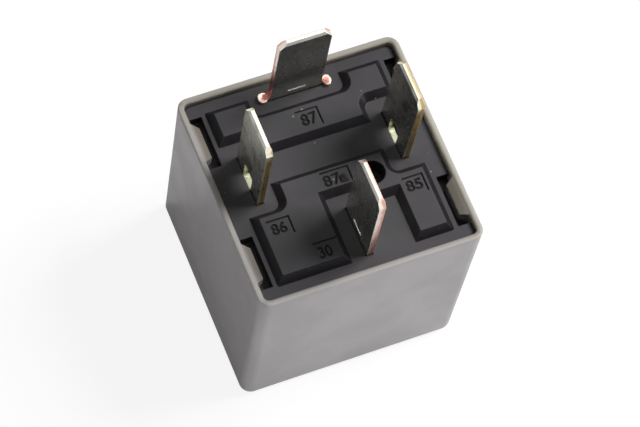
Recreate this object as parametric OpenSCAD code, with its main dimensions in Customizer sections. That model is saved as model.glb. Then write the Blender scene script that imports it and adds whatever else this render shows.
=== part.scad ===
// Automotive mini relay with one normally open contact and four blade terminals.
// It stands on the closed face of its cover, with the blades up: +Z runs along the
// blades, +Y points from blade 30 to blade 87, and +X from blade 86 to blade 85.
// The magnet system hangs from the base plate, so its heights are counted down from it.

/* [Cover] */
// Width of the cover at its rim
cover_w = 27.3; // [27:0.1:29]
// Depth of the cover at its rim
cover_d = 27.2; // [26.9:0.1:29]
// Height of the cover from its closed face to its rim
cover_h = 26.7; // [26.4:0.1:30]
// Thickness of the cover's walls
cover_wall = 0.75; // [0.6:0.05:0.9]
// Thickness of the closed face
cover_floor = 0.9; // [0.7:0.1:1.1]
// Radius of the cover's outer corners
cover_corner = 1.4; // [1:0.1:2]
// Draft of each wall over the whole height
cover_draft = 0.17; // [0:0.01:0.25]
// Width of the bevels along the rim
rim_bevel = 0.15; // [0.05:0.05:0.25]
// Length of each snap lug along the wall
lug_l = 5.1; // [3:0.1:6]
// How far each snap lug stands in from the wall
lug_reach = 0.95; // [0.7:0.05:1.2]

/* [Base plate] */
// Depth of the plate's face below the rim
plate_recess = 0.8; // [0.5:0.1:1.4]
// Thickness of the plate
plate_t = 2.2; // [2:0.1:2.6]
// Gap between the plate and the cover's wall
plate_gap = 0.1; // [0.05:0.05:0.2]
// Height of the raised lands above the plate's face
land_h = 1; // [0.6:0.1:1.4]
// Width of the sloped sides of the lands
land_slope = 0.8; // [0.4:0.1:1]
// Distance of the lands from the side walls
land_side = 2.15; // [1.9:0.05:2.4]
// Distance of the lands from the front and back walls
land_end = 1.45; // [1.2:0.05:1.8]
// Width of the channel between the two lands
channel_w = 3.5; // [2:0.1:3.6]
// Length of each notch for a snap lug
notch_l = 6.5; // [6.2:0.1:7]
// Distance of the notches and lugs from the front and back walls
notch_in = 4.95; // [4.6:0.05:5.3]
// Depth of the notches, down to the ledge that the lug holds
notch_depth = 1.4; // [1:0.1:1.6]
// Radius of the vent well
vent_r = 1.45; // [1:0.05:1.6]
// Radius of the vent hole at the bottom of the well
vent_hole_r = 0.6; // [0.3:0.05:0.8]

/* [Blade terminals] */
// Width of every blade
blade_w = 6.3; // [6:0.1:6.4]
// Thickness of every blade
blade_t = 0.8; // [0.7:0.05:0.9]
// Length of the blades above the cover's rim
blade_l = 12.2; // [9:0.1:13]
// Height of the cut corners at a blade's tip
tip_h = 1.1; // [0.6:0.1:1.5]
// Width of the cut corners at a blade's tip
tip_cut = 0.85; // [0.5:0.05:1.3]
// Height of the bevels that thin a blade's tip
bevel_h = 0.45; // [0.35:0.05:0.7]
// Thickness that is left at a blade's tip
tip_t = 0.42; // [0.34:0.02:0.56]
// Clearance around a blade in the base plate
slot_gap = 0.06; // [0.03:0.01:0.1]
// Distance of blades 85 and 86 from the side walls
coil_blade_in = 4; // [3.7:0.05:4.1]
// Place of blades 85 and 86 along Y
coil_blade_y = 1.9; // [1.6:0.1:2.2]
// How far the tip of blade 85 is bent outwards
bent_85 = 0.3; // [0:0.05:0.5]
// Place of blade 30 along X
load_blade_x = 0.45; // [0.2:0.05:0.7]
// Place of blade 87 along X
out_blade_x = 0.1; // [-0.2:0.05:0.4]
// Distance of blade 87 from the back wall
out_blade_in = 1.9; // [1.7:0.05:2]
// Width of the shoulders of blade 87
shoulder_w = 8.7; // [8:0.1:9.4]
// Width of the anchor holes in the blades
anchor_w = 2.2; // [1.6:0.1:2.6]
// Height of the anchor holes in blades 85 and 86
anchor_h = 3; // [2.4:0.1:3.4]
// Height of the anchor slits in blades 30 and 87
slit_h = 0.35; // [0.3:0.05:0.7]

/* [Magnet] */
// Thickness of the yoke
yoke_t = 1.5; // [1.2:0.1:1.6]
// How far the bobbin stands out past the yoke at each side
yoke_in = 0.8; // [0.5:0.1:1.2]
// Thickness of the bobbin's flanges
flange_t = 1; // [0.8:0.1:1.2]
// Radius of the core, as a share of the winding's radius
core_share = 0.45; // [0.4:0.01:0.5]
// Wall of the bobbin's tube
tube_wall = 0.85; // [0.6:0.05:1]
// How far the bobbin's flanges stand out past the winding
flange_rim = 0.65; // [0.5:0.05:1.2]
// Pitch of the winding's outer turns
turn_pitch = 0.6; // [0.5:0.05:0.9]
// How far the pole head stands out past the core
pole_lip = 1.3; // [0.9:0.1:1.6]
// Thickness of the pole head
pole_t = 1; // [0.8:0.1:1.2]

/* [Armature and contacts] */
// Thickness of the armature
armature_t = 1.3; // [1.1:0.1:1.4]
// Tilt of the armature at rest, in degrees
armature_tilt = 4.2; // [3:0.1:4.4]
// Thickness of the contact spring
spring_t = 0.25; // [0.2:0.01:0.3]
// Width of the contact spring on the yoke
spring_w = 7.4; // [6:0.1:8]
// Radius of the moving contact
contact_r = 1.6; // [1.2:0.1:1.8]
// Height of each contact's head
contact_h = 0.8; // [0.6:0.05:0.85]
// Thickness of the back stop
stop_t = 0.6; // [0.5:0.05:0.65]
// Clearance between the back stop and the cover's closed face
floor_air = 0.65; // [0.4:0.05:0.9]

/* [Hidden] */
$fn = 48;
over = 0.5;       // how far a cutting tool passes the face that it cuts
bond = 0.3;       // how far a moulded feature is sunk into the wall that carries it
fit_gap = 0.03;   // radial clearance of a shank in its hole
bend_r = 0.5;     // inner radius of the bends in the strips

// Inside of the cover
in_w = cover_w / 2 - cover_wall;
in_d = cover_d / 2 - cover_wall;
in_corner = max(cover_corner - cover_wall, 0.3);

// Places along X
coil_blade_x = in_w - coil_blade_in;

// Heights of the plate, and of the yoke that hangs under it
tip_z = cover_h + blade_l;
plate_z = cover_h - plate_recess;
plate_under = plate_z - plate_t;
guide_under = plate_under - 0.8;             // underside of the guides below the plate
yoke_top = plate_under - 0.4 - blade_t;      // the foot of terminal 30 lies on the yoke
yoke_under = yoke_top - yoke_t;

// Places along Y, from the front wall to the armature's hinge edge and from the back
// wall to the contacts; the bobbin fills the room between the yoke and the contacts
rivet_head_h = 0.5;
fixed_r = contact_r + 0.2;
spring_air = 0.7;                            // between the spring's rivets and the wall
flange_air = 0.6;                            // between the yoke's leg and the bobbin
contact_air = 0.9;                           // between the bobbin and the fixed contact
hinge_y = -in_d + spring_air + rivet_head_h + spring_t;
load_blade_y = hinge_y + 0.3 + blade_w / 2;  // the yoke reaches just past blade 30
out_blade_y = in_d - out_blade_in;
contact_y = out_blade_y - blade_t / 2 - bend_r - 0.25 - fixed_r;
contact_reach = contact_y - hinge_y;
armature_l = contact_reach - contact_r - 1.4;
flange_half = (contact_y - fixed_r - contact_air - hinge_y - yoke_t - flange_air) / 2;
core_y = hinge_y + yoke_t + flange_air + flange_half;
winding_r = flange_half - flange_rim;
core_r = core_share * winding_r;
tube_r = core_r + fit_gap + tube_wall;
pole_r = core_r + pole_lip;
yoke_w = 2 * (flange_half - yoke_in);

// Heights from the closed face: the moving contact's tail rests on the back stop, the
// contacts meet when the armature has turned flat, and the bobbin takes what is left
tail_h = 0.35;
tail_r = 1.2;
stop_air = 0.04;
stop_z = cover_floor + floor_air + stop_t;
hinge_z = stop_z + stop_air + (contact_reach + tail_r) * sin(armature_tilt)
        + (armature_t + spring_t + tail_h) * cos(armature_tilt);
pole_z = hinge_z + 0.05;                     // pole face, flush with the end of the yoke
bobbin_l = yoke_under - pole_t - pole_z;
head_top = contact_h - armature_t;           // moving face, counted from the hinge line
fixed_face_z = hinge_z + head_top;
out_foot_z = fixed_face_z + contact_h;       // underside of the foot of terminal 87

// Rectangle with round corners, centred
module round_rect(w, d, r) {
    square([w - 2 * r, d], center = true);
    square([w, d - 2 * r], center = true);
    for (x = [-1, 1], y = [-1, 1])
        translate([x * (w / 2 - r), y * (d / 2 - r)]) circle(r);
}

// Block between two corners
module block(low, high) {
    translate(low) cube(high - low);
}

// Block whose sides slope outwards by flare, with its corner radius at each end
module flared_block(low, high, flare, r_low, r_high) {
    hull() for (end = [[low[2], r_low, 0], [high[2] - 0.01, r_high, flare]], x = [0, 1], y = [0, 1]) {
        inset = end[1] - end[2];
        translate([x ? high[0] - inset : low[0] + inset, y ? high[1] - inset : low[1] + inset, end[0]])
            cylinder(h = 0.01, r = end[1], $fn = 32);
    }
}

// Gives a profile drawn in Y and Z a width along X, or one drawn in X and Z a width along Y
module along_x(width) {
    rotate([90, 0, 90]) linear_extrude(height = width, center = true) children();
}
module along_y(width) {
    rotate([90, 0, 0]) linear_extrude(height = width, center = true) children();
}

// Quarter ring around the origin, in the first quadrant: the edge view of a bent strip
module quarter_ring(inner, thickness) {
    difference() {
        intersection() {
            circle(inner + thickness);
            square(inner + thickness);
        }
        circle(inner);
    }
}

// ---- Cover: one moulding, open at the blade end, with four snap lugs inside ----

module cover_form(inset, floor_z, top_z, corner, bevel) {
    levels = [[top_z - bevel - 0.01, corner], [top_z - 0.01, corner - bevel]];
    hull() for (x = [-1, 1], y = [-1, 1]) {
        foot = cover_draft + inset + corner;
        translate([x * (cover_w / 2 - foot), y * (cover_d / 2 - foot), floor_z + corner])
            sphere(corner, $fn = 32);
        for (level = levels)
            translate([x * (cover_w / 2 - inset - corner), y * (cover_d / 2 - inset - corner), level[0]])
                cylinder(h = 0.01, r = level[1], $fn = 32);
    }
}

module snap_lug() {
    ledge_z = plate_z - notch_depth;
    end_taper = 0.6;
    hull() {
        block([in_w, -lug_l / 2, ledge_z], [in_w + bond, lug_l / 2, cover_h - rim_bevel]);
        block([in_w - lug_reach, end_taper - lug_l / 2, ledge_z], [in_w, lug_l / 2 - end_taper, plate_z]);
    }
}

module cover() {
    color("gainsboro") {
        difference() {
            cover_form(0, 0, cover_h, cover_corner, rim_bevel);
            cover_form(cover_wall, cover_floor, cover_h + over, in_corner, 0);
            flared_block([-in_w, -in_d, cover_h - rim_bevel], [in_w, in_d, cover_h + 0.01],
                         rim_bevel, in_corner, in_corner + rim_bevel);
        }
        for (side = [0, 1], y = [-1, 1])
            mirror([side, 0, 0]) translate([0, y * notch_y, 0]) snap_lug();
    }
}

// ---- Base plate: one moulding, with two raised lands cut back around the blades ----

land_x = in_w - land_side;
land_y = in_d - land_end;
zone_side = 2;          // plain floor beside the inner face of a blade
zone_end = 1.25;        // and past its edge
zone_r = 0.9;           // corners of a zone at the floor
zone_r_top = 1.5;       // and at the top of the slope
land_corner = 0.3;
sharp_r = 0.1;
shoulder_margin = 1.2;
landing_w = 4.8;        // width of the land beside blade 30
landing_x = land_x - landing_w;
notch_y = in_d - notch_in;

// Place of the back stop's leg, which is held in the plate
stop_x = out_blade_x + shoulder_w / 2 + 0.55;
stop_leg_w = 3;
stop_leg_y = contact_y + 1.2;
stop_top = plate_under + 0.8;

// Floor that is left clear around one blade
module zone(low, high, r = zone_r, r_top = zone_r_top) {
    flared_block([low[0], low[1], plate_z], [high[0], high[1], plate_z + land_h + 0.02],
                 land_slope, r, r_top);
}

module lands() {
    past_x = in_w + over;
    past_y = in_d + over;
    coil_zone = coil_blade_x - zone_side;
    coil_front = coil_blade_y - blade_w / 2 - zone_end;
    coil_back = coil_blade_y + blade_w / 2 + 1.7;
    channel_y = coil_blade_y + 0.6;
    load_edge = load_blade_y + blade_w / 2;
    foot = land_slope * bond / land_h;
    difference() {
        flared_block([-land_x - foot, -land_y - foot, plate_z - bond],
                     [land_x + foot, land_y + foot, plate_z + land_h],
                     -land_slope - foot, land_corner, sharp_r);
        zone([coil_zone, coil_front], [past_x, coil_back]);
        zone([-past_x, coil_front], [-coil_zone, coil_back]);
        zone([-coil_zone - 1, channel_y - channel_w / 2], [coil_zone + 1, channel_y + channel_w / 2],
             sharp_r, sharp_r);
        zone([out_blade_x - shoulder_w / 2 - shoulder_margin, out_blade_y - blade_t / 2 - 1.4],
             [out_blade_x + shoulder_w / 2 + shoulder_margin, past_y]);
        zone([load_blade_x - zone_side - 0.2, -past_y], [load_blade_x + zone_side + 0.2, load_edge + 1.6],
             sharp_r, sharp_r);
        zone([load_blade_x, -past_y], [landing_x, load_edge - 0.4], sharp_r, sharp_r);
    }
}

// A slot through the plate, or the guide around one: half its sizes in X and Y, grown by rim
module at_each_blade(rim, low_z, high_z) {
    w = blade_w / 2 + rim;
    t = blade_t / 2 + rim;
    s = shoulder_w / 2 + rim;
    for (side = [-1, 1])
        translate([side * coil_blade_x, coil_blade_y, 0]) block([-t, -w, low_z], [t, w, high_z]);
    translate([out_blade_x, out_blade_y, 0]) block([-s, -t, low_z], [s, t, high_z]);
}

module stop_socket(rim, low_z, high_z) {
    block([stop_x - rim, stop_leg_y - rim, low_z],
          [stop_x + stop_leg_w + rim, stop_leg_y + stop_t + rim, high_z]);
}

module base_plate() {
    vent = [4.4, -2.1];
    vent_floor = 0.6;
    guide_rim = 0.7;
    notch_x = in_w - lug_reach - 0.7;
    color("dimgray") difference() {
        union() {
            translate([0, 0, plate_under]) linear_extrude(plate_t)
                round_rect(2 * (in_w - plate_gap), 2 * (in_d - plate_gap), in_corner);
            at_each_blade(guide_rim, guide_under, plate_z);
            stop_socket(guide_rim, guide_under, plate_z);
            lands();
        }
        at_each_blade(slot_gap, guide_under - over, tip_z);
        translate([load_blade_x, load_blade_y, guide_under]) cube([blade_t + 2 * slot_gap,
            blade_w + 2 * slot_gap, 2 * tip_z], center = true);
        stop_socket(slot_gap, guide_under - over, stop_top + slot_gap);
        for (side = [0, 1], y = [-1, 1])
            mirror([side, 0, 0]) translate([0, y * notch_y, 0])
                block([notch_x, -notch_l / 2, plate_z - notch_depth], [in_w + over, notch_l / 2, cover_h]);
        translate([vent[0], vent[1], plate_under + vent_floor]) cylinder(h = plate_t + land_h, r = vent_r);
        translate([vent[0], vent[1], plate_under - over]) cylinder(h = plate_t, r = vent_hole_r);
    }
}

// ---- Blade terminals: stamped strip with bevelled tips ----

slit_z = plate_z + 1.25;
blade_view = 60;        // long enough to cut a whole terminal

// Face of a blade from bottom to tip
module blade_face(bottom) {
    w = blade_w / 2;
    polygon([[-w, bottom], [w, bottom], [w, tip_z - tip_h], [w - tip_cut, tip_z],
             [tip_cut - w, tip_z], [-w, tip_z - tip_h]]);
}

// Edge of the same strip, thinned at the tip, which may be bent aside above the plate
module blade_edge(bottom, bent = 0) {
    t = blade_t / 2;
    nose = tip_t / 2;
    bevel_z = tip_z - bevel_h;
    aside = bent * (bevel_z - plate_z) / (tip_z - plate_z);
    polygon([[-t, bottom], [t, bottom], [t, plate_z], [aside + t, bevel_z], [bent + nose, tip_z],
             [bent - nose, tip_z], [aside - t, bevel_z], [-t, plate_z]]);
}

// Blades 85 and 86 run on below the plate: an arm holds the resistor's lead, and the
// coil's wire is wound on the tail
tail_w = 2;
tail_tip_w = 1;
tail_l = 3.8;
tail_tip_l = 2;
tail_in = 1.3;          // from the end of the bobbin's flange
tail_y = core_y + flange_half - tail_in;
tail_end_z = yoke_under - tail_l;
tail_neck_z = tail_end_z + tail_tip_l;
lead_r = 0.3;
resistor_r = 1.25;
lead_y = out_blade_y - blade_t / 2 - 1.3 - resistor_r;
lead_z = (yoke_under + guide_under) / 2;

module coil_terminal_face() {
    arm_y = coil_blade_y - blade_w / 2;
    difference() {
        union() {
            translate([coil_blade_y, 0]) blade_face(guide_under);
            translate([arm_y, yoke_under]) square([lead_y + 0.9 - arm_y, guide_under - yoke_under]);
            translate([tail_y - tail_w / 2, tail_neck_z]) square([tail_w, yoke_under - tail_neck_z]);
            translate([tail_y - tail_tip_w / 2, tail_end_z])
                square([tail_tip_w, tail_neck_z - tail_end_z]);
        }
        translate([coil_blade_y, plate_z - 0.4 + anchor_h / 2]) round_rect(anchor_w, anchor_h, 0.5);
        translate([lead_y, lead_z]) circle(lead_r + fit_gap);
        translate([lead_y, lead_z - lead_r - fit_gap]) square([1 + over, 2 * (lead_r + fit_gap)]);
    }
}

module coil_terminal(side, bent) {
    color("darkkhaki") translate([side * coil_blade_x, 0, 0]) intersection() {
        along_x(2 * (blade_t + bent)) coil_terminal_face();
        along_y(blade_view) blade_edge(tail_end_z - over, bent);
    }
}

module terminal_85() { coil_terminal(1, bent_85); }
module terminal_86() { coil_terminal(-1, 0); }

module anchor_slit() {
    translate([0, slit_z]) round_rect(anchor_w, slit_h, slit_h / 2 - 0.01);
}

// Blade 30 is bent under the plate into a foot, which is riveted to the yoke
foot_l = 4.5;
foot_rivet_r = 0.8;
foot_rivet_x = load_blade_x + blade_t / 2 + bend_r + foot_l / 2;
foot_rivet_y = 1.7;     // from the middle of the blade

module terminal_30() {
    bend_x = blade_t / 2 + bend_r;
    bend_z = yoke_top + blade_t + bend_r;
    color("sandybrown") translate([load_blade_x, load_blade_y, 0]) {
        intersection() {
            along_x(blade_t) difference() {
                blade_face(bend_z);
                anchor_slit();
            }
            along_y(blade_view) blade_edge(bend_z);
        }
        difference() {
            along_y(blade_w) {
                translate([bend_x, bend_z]) rotate(180) quarter_ring(bend_r, blade_t);
                translate([bend_x, yoke_top]) square([foot_l, blade_t]);
            }
            for (y = [-1, 1])
                translate([foot_rivet_x - load_blade_x, y * foot_rivet_y, yoke_top - over])
                    cylinder(h = blade_t + 2 * over, r = foot_rivet_r + fit_gap);
        }
    }
}

// Blade 87 widens into shoulders at the plate, runs down the back wall and is bent
// inwards under it to carry the fixed contact
out_strip_w = 7;
fixed_rivet_r = 0.9;

module out_terminal_face() {
    shoulder_z = plate_z + 0.25;
    fillet = (shoulder_w - blade_w) / 2 - 0.15;
    blade_face(shoulder_z);
    translate([-shoulder_w / 2, guide_under]) square([shoulder_w, shoulder_z - guide_under]);
    translate([-out_strip_w / 2, out_foot_z + blade_t + bend_r])
        square([out_strip_w, guide_under - out_foot_z - blade_t - bend_r]);
    for (side = [0, 1]) mirror([side, 0]) translate([blade_w / 2, shoulder_z]) difference() {
        square(fillet);
        translate([fillet, fillet]) circle(fillet);
    }
}

module terminal_87() {
    bend_y = out_blade_y - blade_t / 2 - bend_r;
    foot_end = contact_y - fixed_r;
    color("sandybrown") translate([out_blade_x, 0, 0]) {
        translate([0, out_blade_y, 0]) intersection() {
            along_y(blade_t) difference() {
                out_terminal_face();
                anchor_slit();
            }
            along_x(blade_view) blade_edge(out_foot_z);
        }
        difference() {
            along_x(out_strip_w) {
                translate([bend_y, out_foot_z + blade_t + bend_r]) rotate(-90) quarter_ring(bend_r, blade_t);
                translate([foot_end, out_foot_z]) square([bend_y - foot_end, blade_t]);
            }
            translate([-out_blade_x, contact_y, out_foot_z - over])
                cylinder(h = blade_t + 2 * over, r = fixed_rivet_r + fit_gap);
        }
    }
}

// ---- Magnet: yoke, core, bobbin and winding ----

spring_rivet_r = 0.9;
spring_head_r = 1.5;
spring_rivet_x = spring_w / 2 - 1.1;
spring_rivet_h = 5.9;   // height of the spring's rivets above the hinge edge
spring_rivet_z = hinge_z + spring_rivet_h;
core_neck_r = core_r - 1;
ear_w = 1.6;            // ears at the end of the yoke's leg, which keep the armature in line

// Bent from one strip
module yoke() {
    outer_r = bend_r + yoke_t;
    end_y = core_y + flange_half - 1.7;
    ear_h = 1.2;
    corner_cut = 2;
    w = yoke_w / 2;
    color("silver") difference() {
        intersection() {
            union() {
                along_x(yoke_w) {
                    translate([hinge_y, pole_z]) square([yoke_t, yoke_top - outer_r - pole_z]);
                    translate([hinge_y + outer_r, yoke_under]) square([end_y - hinge_y - outer_r, yoke_t]);
                    translate([hinge_y + outer_r, yoke_top - outer_r]) rotate(90)
                        quarter_ring(bend_r, yoke_t);
                }
                for (side = [0, 1]) mirror([side, 0, 0])
                    block([w - ear_w, hinge_y, pole_z - ear_h], [w, hinge_y + yoke_t, pole_z + over]);
            }
            linear_extrude(cover_h)
                polygon([[-w, hinge_y], [w, hinge_y], [w, end_y - corner_cut], [w - corner_cut, end_y],
                         [corner_cut - w, end_y], [-w, end_y - corner_cut]]);
        }
        translate([0, core_y, yoke_under - over])
            cylinder(h = yoke_t + 2 * over, r = core_neck_r + fit_gap);
        for (y = [-1, 1]) translate([foot_rivet_x, load_blade_y + y * foot_rivet_y, yoke_under - over])
            cylinder(h = yoke_t + 2 * over, r = foot_rivet_r + fit_gap);
        for (x = [-1, 1]) translate([x * spring_rivet_x, hinge_y - over, spring_rivet_z])
            rotate([-90, 0, 0]) cylinder(h = yoke_t + 2 * over, r = spring_rivet_r + fit_gap);
    }
}

// Headed pin, turned down at the top and riveted over the yoke
module core() {
    head_h = 0.45;
    head_r = core_neck_r + 0.55;
    bevel = 0.2;
    color("lightsteelblue") translate([0, core_y, 0]) rotate_extrude()
        polygon([[0, pole_z], [pole_r - bevel, pole_z], [pole_r, pole_z + bevel], [pole_r, pole_z + pole_t],
                 [core_r, pole_z + pole_t], [core_r, yoke_under], [core_neck_r, yoke_under],
                 [core_neck_r, yoke_top], [head_r, yoke_top], [head_r - bevel, yoke_top + head_h],
                 [0, yoke_top + head_h]]);
}

winding_l = bobbin_l - 2 * flange_t;
winding_z = yoke_under - flange_t - winding_l;

// Moulded former; the ears of its upper flange hold the tails of blades 85 and 86
module bobbin() {
    ear_rim = 0.7;
    ear_end = coil_blade_x + blade_t / 2 + ear_rim;
    color("ivory") difference() {
        union() {
            translate([0, core_y, winding_z]) cylinder(h = winding_l, r = tube_r);
            for (z = [winding_z - flange_t, yoke_under - flange_t])
                translate([0, core_y, z]) linear_extrude(flange_t)
                    round_rect(2 * flange_half, 2 * flange_half, 1.2);
            block([-ear_end, tail_y - tail_w / 2 - ear_rim, yoke_under - flange_t],
                  [ear_end, tail_y + tail_w / 2 + ear_rim, yoke_under]);
        }
        translate([0, core_y, winding_z - flange_t - over])
            cylinder(h = bobbin_l + 2 * over, r = core_r + fit_gap);
        for (side = [-1, 1]) translate([side * coil_blade_x, tail_y, yoke_under])
            cube([blade_t + 2 * slot_gap, tail_w + 2 * slot_gap, 4 * flange_t], center = true);
    }
}

// Edge of a stack of turns, from one end to the other: a ridge for each turn
function ridges(radius, depth, pitch, turns) =
    [for (i = [0 : 2 * turns]) [i % 2 == 0 ? radius - depth : radius, i * pitch / 2]];

// Enamelled wire in close turns; each end runs out to a tail and is wound round it
module coil_winding() {
    groove = 0.2;
    turns = floor(winding_l / turn_pitch);
    turns_z = winding_z + (winding_l - turns * turn_pitch) / 2;
    wire_r = 0.16;
    wraps = 5;
    wrap_in = norm([tail_tip_w, blade_t]) / 2 + fit_gap;
    wrap_out = wrap_in + 2 * wire_r;
    wrap_z = tail_end_z + 0.3;
    lead_start = winding_r - groove - over;
    lead_l = norm([coil_blade_x, tail_y - core_y]) - wrap_in - wire_r - lead_start;
    color("chocolate") {
        translate([0, core_y, turns_z]) rotate_extrude()
            polygon(concat([[tube_r, 0]], ridges(winding_r, groove, turn_pitch, turns),
                           [[tube_r, turns * turn_pitch]]));
        for (side = [0, 1]) mirror([side, 0, 0]) {
            translate([coil_blade_x, tail_y, wrap_z]) rotate_extrude()
                polygon(concat([[wrap_in, 0]], ridges(wrap_out, wire_r, 2 * wire_r, wraps),
                               [[wrap_in, 2 * wire_r * wraps]]));
            translate([0, core_y, wrap_z + 2 * wire_r * (wraps - 1)])
                rotate([0, 90, atan2(tail_y - core_y, coil_blade_x)])
                    translate([0, 0, lead_start]) cylinder(h = lead_l, r = wire_r);
        }
    }
}

// Film wrapped once round the winding
module coil_tape() {
    film = 0.12;
    bare_low = 1.2;
    bare_high = yoke_under - flange_t - tail_end_z + 0.2;
    color("goldenrod") translate([0, core_y, winding_z + bare_low]) difference() {
        cylinder(h = winding_l - bare_low - bare_high, r = winding_r + fit_gap + film);
        translate([0, 0, -over]) cylinder(h = winding_l, r = winding_r + fit_gap);
    }
}

// Resistor across the coil, with its leads in the forks of blades 85 and 86
module suppression_resistor() {
    body_l = 6.8;
    waist_r = resistor_r - 0.2;
    cap_l = 1.7;
    lead_end = coil_blade_x + blade_t / 2 + 0.3;
    half = [[0, lead_end], [lead_r, lead_end], [lead_r, body_l / 2], [resistor_r - 0.4, body_l / 2],
            [resistor_r, body_l / 2 - 0.4], [resistor_r, body_l / 2 - cap_l + 0.2],
            [waist_r, body_l / 2 - cap_l]];
    other_half = [for (i = [len(half) - 1 : -1 : 0]) [half[i][0], -half[i][1]]];
    color("tan") translate([0, lead_y, lead_z]) rotate([0, 90, 0])
        rotate_extrude() polygon(concat(half, other_half));
}

// ---- Armature and contacts, drawn flat along +Y from the hinge line and then tilted ----

armature_rivet_r = 0.7;
armature_head_r = 1.2;
armature_rivet_x = pole_r - armature_head_r - 0.1;
armature_rivet_y = 4.9;
spring_end = contact_reach + contact_r + 0.2;
edge_h = 0.3;           // height of the hinge edge, below which the armature is cut away
edge_air = 0.1;

module at_hinge() {
    translate([0, hinge_y, hinge_z]) rotate([-armature_tilt, 0, 0]) children();
}

module armature() {
    neck = yoke_w / 2 - ear_w - 0.2;
    neck_l = yoke_t + 0.5;
    full = yoke_w / 2 - 0.5;
    end_w = 4.2;
    end_cut = 2.6;
    color("silver") at_hinge() difference() {
        intersection() {
            along_x(yoke_w) polygon([[edge_air, 0], [armature_l, 0], [armature_l, -armature_t],
                                     [edge_air + armature_t - edge_h, -armature_t], [edge_air, -edge_h]]);
            translate([0, 0, -armature_t]) linear_extrude(armature_t)
                polygon([[-neck, 0], [neck, 0], [neck, neck_l], [full, neck_l], [full, armature_l - end_cut],
                         [end_w, armature_l], [-end_w, armature_l], [-full, armature_l - end_cut],
                         [-full, neck_l], [-neck, neck_l]]);
        }
        for (x = [-1, 1]) translate([x * armature_rivet_x, armature_rivet_y, -armature_t - over])
            cylinder(h = armature_t + 2 * over, r = armature_rivet_r + fit_gap);
    }
}

// Leaf of spring bronze: its leg is riveted to the yoke, it turns round the hinge edge
// and its blade lies under the armature and carries the moving contact
module contact_spring() {
    turn = armature_t - edge_h;
    turn_z = hinge_z + (turn - armature_t - turn * sin(armature_tilt)) / cos(armature_tilt);
    turn_box = 2 * (turn + spring_t + over);
    blade_start = turn * cos(armature_tilt) - (turn_z - hinge_z) * sin(armature_tilt);
    leg_top = spring_rivet_z + spring_head_r + 0.5;
    w = spring_w / 2;
    end_w = contact_r + tail_r;
    end_cut = 0.8;
    taper_l = 3.5;
    taper_y = armature_l - taper_l - end_w / 2;
    window_w = 2.6;
    color("peru") difference() {
        intersection() {
            along_x(spring_w) {
                translate([hinge_y - spring_t, turn_z]) square([spring_t, leg_top - turn_z]);
                translate([hinge_y + turn, turn_z]) difference() {
                    circle(turn + spring_t);
                    circle(turn);
                    translate([-turn_box / 2, 0]) square(turn_box);
                    rotate(-armature_tilt) translate([0, -turn_box / 2]) square(turn_box);
                }
                translate([hinge_y, hinge_z]) rotate(-armature_tilt)
                    translate([blade_start, -armature_t - spring_t])
                        square([spring_end - blade_start, spring_t]);
            }
            at_hinge() translate([0, 0, -cover_h]) linear_extrude(2 * cover_h)
                polygon([[-w, -turn_box], [w, -turn_box], [w, taper_y], [end_w, taper_y + taper_l],
                         [end_w, spring_end - end_cut], [end_w - end_cut, spring_end],
                         [end_cut - end_w, spring_end], [-end_w, spring_end - end_cut],
                         [-end_w, taper_y + taper_l], [-w, taper_y]]);
        }
        block([-window_w / 2, hinge_y - spring_t - over, hinge_z - armature_t - over],
              [window_w / 2, hinge_y + turn, hinge_z + 1.6]);
        for (x = [-1, 1]) translate([x * spring_rivet_x, hinge_y - spring_t - over, spring_rivet_z])
            rotate([-90, 0, 0]) cylinder(h = spring_t + 2 * over, r = spring_rivet_r + fit_gap);
        at_hinge() translate([0, 0, -armature_t - spring_t - over]) {
            for (x = [-1, 1]) translate([x * armature_rivet_x, armature_rivet_y, 0])
                cylinder(h = spring_t + 2 * over, r = armature_rivet_r + fit_gap);
            translate([0, contact_reach, 0]) cylinder(h = spring_t + 2 * over, r = contact_r / 2 + fit_gap);
        }
    }
}

// Contact head with a bevelled edge, standing on z = 0
module contact_head(r, h) {
    bevel = 0.25;
    rotate_extrude() polygon([[0, 0], [r, 0], [r, h - bevel], [r - bevel, h], [0, h]]);
}

module moving_contact() {
    color("lightgray") at_hinge() translate([0, contact_reach, -armature_t]) {
        contact_head(contact_r, contact_h);
        translate([0, 0, -spring_t - 0.01]) cylinder(h = spring_t + 0.02, r = contact_r / 2);
        translate([0, 0, -spring_t - tail_h]) cylinder(h = tail_h, r = tail_r);
    }
}

module fixed_contact() {
    closing_h = 0.3;
    closing_r = 1.3;
    color("lightgray") translate([0, contact_y, out_foot_z]) {
        mirror([0, 0, 1]) contact_head(fixed_r, contact_h);
        translate([0, 0, -0.01]) cylinder(h = blade_t + 0.02, r = fixed_rivet_r);
        translate([0, 0, blade_t]) cylinder(h = closing_h, r = closing_r);
    }
}

// Strip that the moving contact rests on while the coil is off
module back_stop() {
    arm_end = -2.2;
    arm_front = contact_y - contact_r;
    bend_y = stop_leg_y - bend_r;
    middle = stop_x + stop_leg_w / 2;
    color("darkgray") {
        block([stop_x, stop_leg_y, stop_z + bend_r], [stop_x + stop_leg_w, stop_leg_y + stop_t, stop_top]);
        translate([middle, 0, 0]) along_x(stop_leg_w)
            translate([bend_y, stop_z + bend_r]) rotate(-90) quarter_ring(bend_r, stop_t);
        block([arm_end, arm_front, stop_z - stop_t], [stop_x + stop_leg_w, bend_y, stop_z]);
    }
}

// ---- Rivets ----

// Rivet along +Z: the shank starts at z = 0, and the head stands on it
module rivet(shank_r, shank_l, head_r, head_h) {
    bevel = 0.15;
    rotate_extrude() polygon([[0, 0], [shank_r, 0], [shank_r, shank_l], [head_r, shank_l],
                              [head_r, shank_l + head_h - bevel], [head_r - bevel, shank_l + head_h],
                              [0, shank_l + head_h]]);
}

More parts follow.
